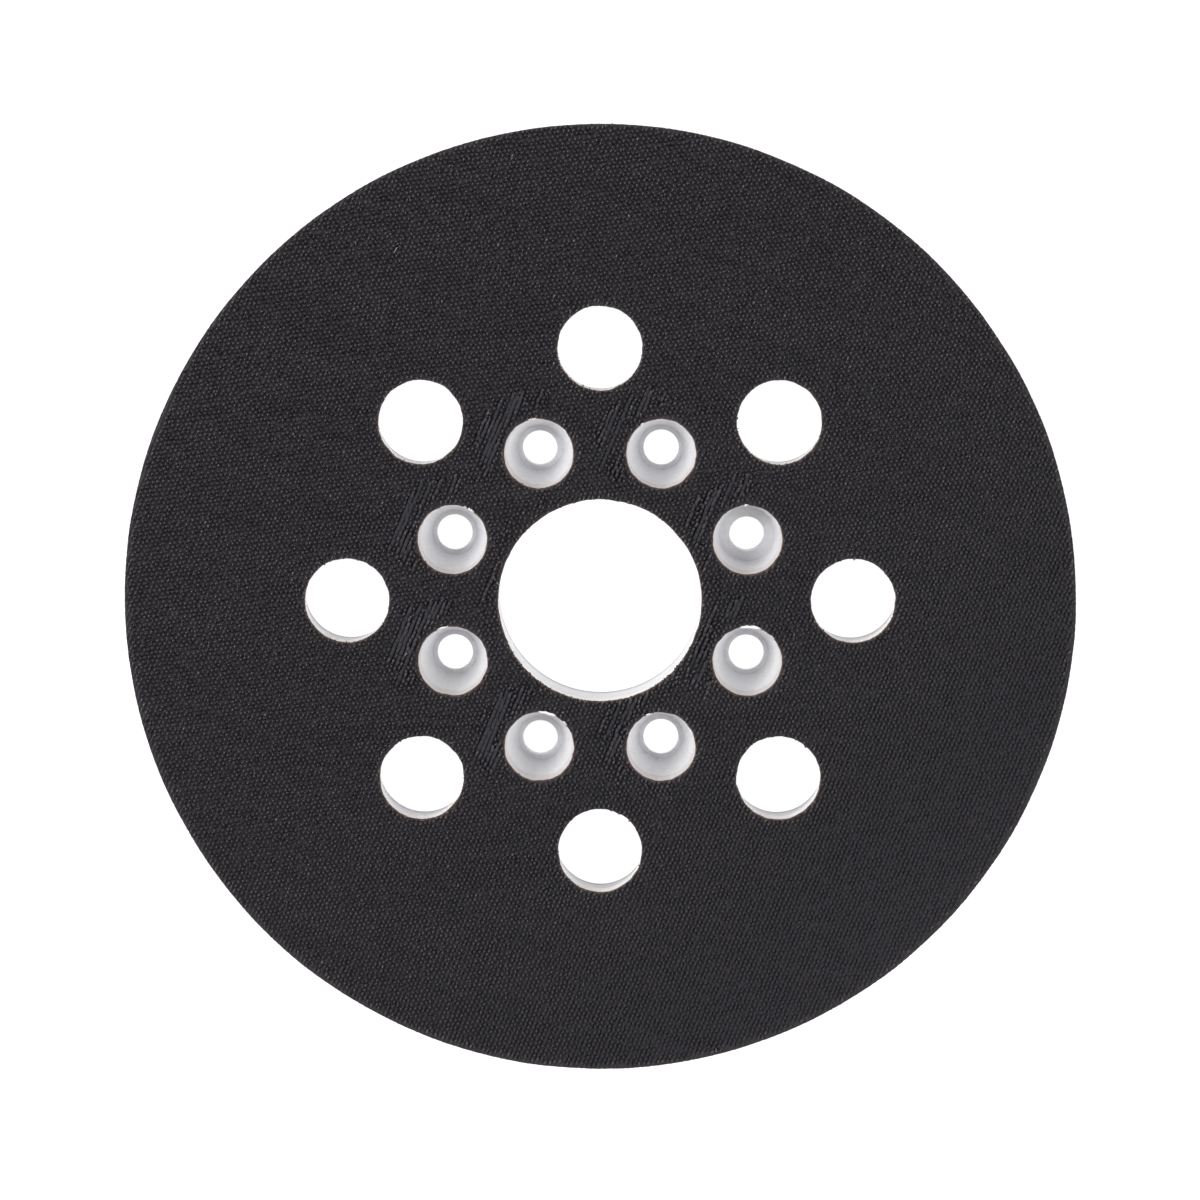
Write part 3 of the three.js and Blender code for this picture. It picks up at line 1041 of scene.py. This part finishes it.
def rib_solid(name, start, angle):
    """Upright rib from a radius out to the rim, its lower edge rising, with bevelled edges."""
    end = PLATE_RADIUS - RIM_WALL + RIB_OVERLAP
    half = RIB_THICKNESS / 2
    foot = half - MOULD_FILLET
    side = [
        (start, RIB_ROOT_LEVEL, foot), (end, RIM_LEVEL, foot),
        (start, RIB_ROOT_LEVEL + MOULD_FILLET, half), (end, RIM_LEVEL + MOULD_FILLET, half),
        (start, FLANGE_UNDERSIDE + RIB_OVERLAP, half), (end, FLANGE_EDGE_UNDERSIDE + RIB_OVERLAP, half),
    ]
    spin = Matrix.Rotation(angle, 3, "Z")
    points = [spin @ Vector((x, sign * y, z)) for sign in (-1, 1) for x, z, y in side]
    faces = [(0, 1, 3, 2), (2, 3, 5, 4), (7, 6, 8, 9), (9, 8, 10, 11)]
    faces += [(1, 0, 6, 7), (4, 5, 11, 10), (0, 2, 4, 10, 8, 6), (1, 7, 9, 11, 5, 3)]
    return solid(name, points, faces)


def ring_wall(name, inner, outer, low, high):
    """Ring wall as a turned bar with the middle taken out."""
    wall = turned_solid(name, bar_profile(outer, low, high), RING_SEGMENTS)
    core_profile = bar_profile(inner, low - OVERCUT, high + OVERCUT)
    combine(wall, [turned_solid(name + "_core", core_profile, RING_SEGMENTS, fillet=0)])
    return wall


def combine(target, others, operation="DIFFERENCE"):
    """Cuts the others from the target, or joins them to it, and discards them."""
    group = bpy.data.collections.new("others")
    bpy.context.scene.collection.children.link(group)
    for other in others:
        group.objects.link(other)
    if not target.users_collection:
        link(target)
    modifier = target.modifiers.new("boolean", "BOOLEAN")
    modifier.operation = operation
    modifier.operand_type = "COLLECTION"
    modifier.collection = group
    modifier.solver = "EXACT"
    modifier.use_self = True
    depsgraph = bpy.context.evaluated_depsgraph_get()
    mesh = bpy.data.meshes.new_from_object(target.evaluated_get(depsgraph))
    target.modifiers.clear()
    target.data = mesh
    for other in others:
        bpy.data.objects.remove(other)
    bpy.data.collections.remove(group)


def plate_additions():
    """Hub, bosses, collars and ribs, all reaching up into the flange."""
    top = FLANGE_UNDERSIDE + RIB_OVERLAP
    core = CENTRE_OUTLET_RADIUS + HUB_WALL
    parts = [turned_solid("hub_core", bar_profile(core, 0, top), HUB_SEGMENTS)]
    parts.append(ring_wall("hub_wall", HUB_RADIUS - HUB_WALL, HUB_RADIUS, 0, top))
    ring_half = RIB_THICKNESS / 2
    parts.append(ring_wall("ring_rib", RING_RIB_RADIUS - ring_half, RING_RIB_RADIUS + ring_half,
                           RING_RIB_LEVEL, top))
    for angle in WELL_ANGLES:
        boss = bar_profile(BOSS_RADIUS, 0, top)
        parts.append(turned_solid("boss", boss, BOSS_SEGMENTS, polar(SCREW_CIRCLE_RADIUS, angle)))
        parts.append(rib_solid("hub_rib", HUB_RADIUS - RIB_OVERLAP, angle))
    for angle in DUST_ANGLES:
        collar = bar_profile(COLLAR_RADIUS, COLLAR_CLEARANCE, top)
        parts.append(turned_solid("collar", collar, COLLAR_SEGMENTS, polar(DUST_CIRCLE_RADIUS, angle)))
        parts.append(rib_solid("collar_rib", DUST_CIRCLE_RADIUS + COLLAR_RADIUS - RIB_OVERLAP, angle))
    return parts


def well_cutter(form, angle):
    """Space of one screw well in the plate: flared outlet, bore, seat and cupped wall."""
    level, seat, bore = form
    cup = WELL_NECK_RADIUS - seat
    wall = []
    for share in np.linspace(0, 1, CUP_RINGS):
        rise = level + (PLATE_TOP - level) * share
        wall.append(Vector((seat + cup * share ** WELL_CUP_SHAPE, rise)))
    outlet = Vector((bore, BORE_FLARE))
    profile = [Vector((0, -OVERCUT)), Vector((bore + BORE_FLARE + OVERCUT, -OVERCUT)), outlet]
    profile += corner_arc(outlet, Vector((bore, level)), wall[0], SEAT_FILLET) + wall
    profile += [Vector((WELL_NECK_RADIUS, PLATE_TOP + OVERCUT)), Vector((0, PLATE_TOP + OVERCUT))]
    return solid("well", *turned(profile, HOLE_SEGMENTS, polar(SCREW_CIRCLE_RADIUS, angle)))


def hole_cutter(outlet, neck, low, segments, centre=(0, 0)):
    """Cutter for a tapering hole whose lower lip is rounded."""
    profile = [Vector((0, low - OVERCUT)), Vector((outlet + HOLE_LIP, low - OVERCUT))]
    for turn in np.linspace(0, math.pi / 2, LIP_RINGS):
        flare = outlet + HOLE_LIP * (1 - math.sin(turn))
        profile.append(Vector((flare, low + HOLE_LIP * (1 - math.cos(turn)))))
    profile += [Vector((neck, PLATE_TOP + OVERCUT)), Vector((0, PLATE_TOP + OVERCUT))]
    return solid("hole", *turned(profile, segments, centre))


def mark_painted_shade(mesh):
    """Face attribute for how far up painted shade reaches on a hole's walls, 0 on every other face."""
    holes = [((0, 0), CENTRE_OUTLET_RADIUS, CENTRE_PAINTED_SHADE_REACH)]
    holes += [(polar(DUST_CIRCLE_RADIUS, angle), DUST_OUTLET_RADIUS, DUST_PAINTED_SHADE_REACH)
              for angle in DUST_ANGLES]
    reaches = []
    for face in mesh.polygons:
        reach = 0.0
        for centre, radius, climb in holes:
            if math.dist(face.center[:2], centre) < radius + HOLE_LIP / 2:
                reach = climb
        reaches.append(reach)
    mesh.attributes.new("painted_shade_reach", "FLOAT", "FACE").data.foreach_set("value", reaches)


def support_plate():
    """The flange joined with everything on its underside, and all its holes cut through both."""
    plate = turned_solid("moulded_plate", flange_profile(), FLANGE_SEGMENTS)
    combine(plate, plate_additions(), "UNION")
    cutters = [hole_cutter(CENTRE_OUTLET_RADIUS, CENTRE_HOLE_RADIUS, 0, RING_SEGMENTS)]
    for angle in DUST_ANGLES:
        centre = polar(DUST_CIRCLE_RADIUS, angle)
        cutters.append(hole_cutter(DUST_OUTLET_RADIUS, DUST_HOLE_RADIUS, COLLAR_CLEARANCE,
                                   HOLE_SEGMENTS, centre))
    cutters += [well_cutter(form, angle) for form, angle in zip(WELL_FORMS, WELL_ANGLES)]
    combine(plate, cutters)
    # The hole walls take painted shade, darkest low down
    mark_painted_shade(plate.data)
    plate.data.shade_smooth()
    plate.data.set_sharp_from_angle(angle=SHARP_PLATE_ANGLE)
    plate.data.materials.clear()
    plate.data.materials.append(grey_nylon())
    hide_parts("support_plate")
    return plate


# ---- studio -------------------------------------------------------------------------------------

FLOOR_HALF = 4.0
FLOOR_GLOW = 0.94

# The cove's brightness by elevation in degrees
COVE_GLOW = [(0, 1.0), (12, 0.4), (50, 1.0), (73, 0.06)]

# Camera above a place past the pad's +Y edge; its sensor and focal length are in millimetres
CAMERA_PLACE = (6.9 * MM, 84.8 * MM)
CAMERA_HEIGHT = 722 * MM
CAMERA_TARGET_Y = 0.08 * MM
SENSOR_WIDTH = 36
FOCAL_LENGTH = 169.8
CLIP_DISTANCES = (0.01, 20)


def floor():
    """Glowing white floor, which leaves the pad's holes and surroundings without shadow."""
    corners = [(x * FLOOR_HALF, y * FLOOR_HALF, 0) for x, y in ((-1, -1), (1, -1), (1, 1), (-1, 1))]
    ground = link(solid("floor", corners, [(0, 1, 2, 3)]))
    nodes = Nodes("floor_white")
    nodes.set(Base_Color=(*grey(0.2), 1), Roughness=0.9)
    nodes.set(Emission_Color=(*WHITE, 1), Emission_Strength=FLOOR_GLOW)
    ground.data.materials.append(nodes.material)


def area_light(name, place, size, power):
    """Rectangular light that faces the origin."""
    data = bpy.data.lights.new(name, "AREA")
    data.shape = "RECTANGLE"
    data.size, data.size_y = size
    data.energy = power
    lamp = link(bpy.data.objects.new(name, data))
    lamp.location = place
    lamp.rotation_euler = (-Vector(place)).to_track_quat("-Z", "Y").to_euler()


def studio():
    """A white cove, bright round the horizon and dark overhead, with a softbox on either side."""
    world = bpy.data.worlds.new("studio")
    world.use_nodes = True
    nodes, links = world.node_tree.nodes, world.node_tree.links
    direction = nodes.new("ShaderNodeTexCoord").outputs["Generated"]
    height = nodes.new("ShaderNodeSeparateXYZ")
    cove = nodes.new("ShaderNodeValToRGB")
    cove.color_ramp.interpolation = "EASE"
    elements = cove.color_ramp.elements
    while len(elements) < len(COVE_GLOW):
        elements.new(0.5)
    for element, (elevation, glow) in zip(elements, COVE_GLOW):
        element.position = math.sin(math.radians(elevation))
        element.color = (*grey(glow), 1)
    links.new(direction, height.inputs[0])
    links.new(height.outputs["Z"], cove.inputs["Fac"])
    links.new(cove.outputs["Color"], nodes["Background"].inputs["Color"])
    bpy.context.scene.world = world
    area_light("key", place=(-0.44, 0.11, 0.52), size=(0.3, 0.3), power=3.5)
    area_light("fill", place=(0.48, -0.10, 0.57), size=(0.5, 0.4), power=2.5)


def camera():
    """Looks down from past the +Y edge, 6.7 degrees off the pad's axis, with +Y at the top."""
    data = bpy.data.cameras.new("camera")
    data.sensor_width = SENSOR_WIDTH
    data.lens = FOCAL_LENGTH
    place = Vector((*CAMERA_PLACE, BOND_TOP + CAMERA_HEIGHT))
    target = Vector((0, CAMERA_TARGET_Y, BOND_TOP))
    back = (place - target).normalized()
    right = Vector((0, 1, 0)).cross(back).normalized()
    up = back.cross(right)
    lens = link(bpy.data.objects.new("camera", data))
    lens.matrix_world = Matrix.Translation(place) @ Matrix((right, up, back)).transposed().to_4x4()
    data.clip_start, data.clip_end = CLIP_DISTANCES
    bpy.context.scene.camera = lens


bpy.context.scene.view_settings.view_transform = "Standard"
camera()
studio()
floor()
for piece in (support_plate(), foam_cushion(), bond_film(), hook_base()):
    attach(piece, "root")
hook_field()
torn_pieces()
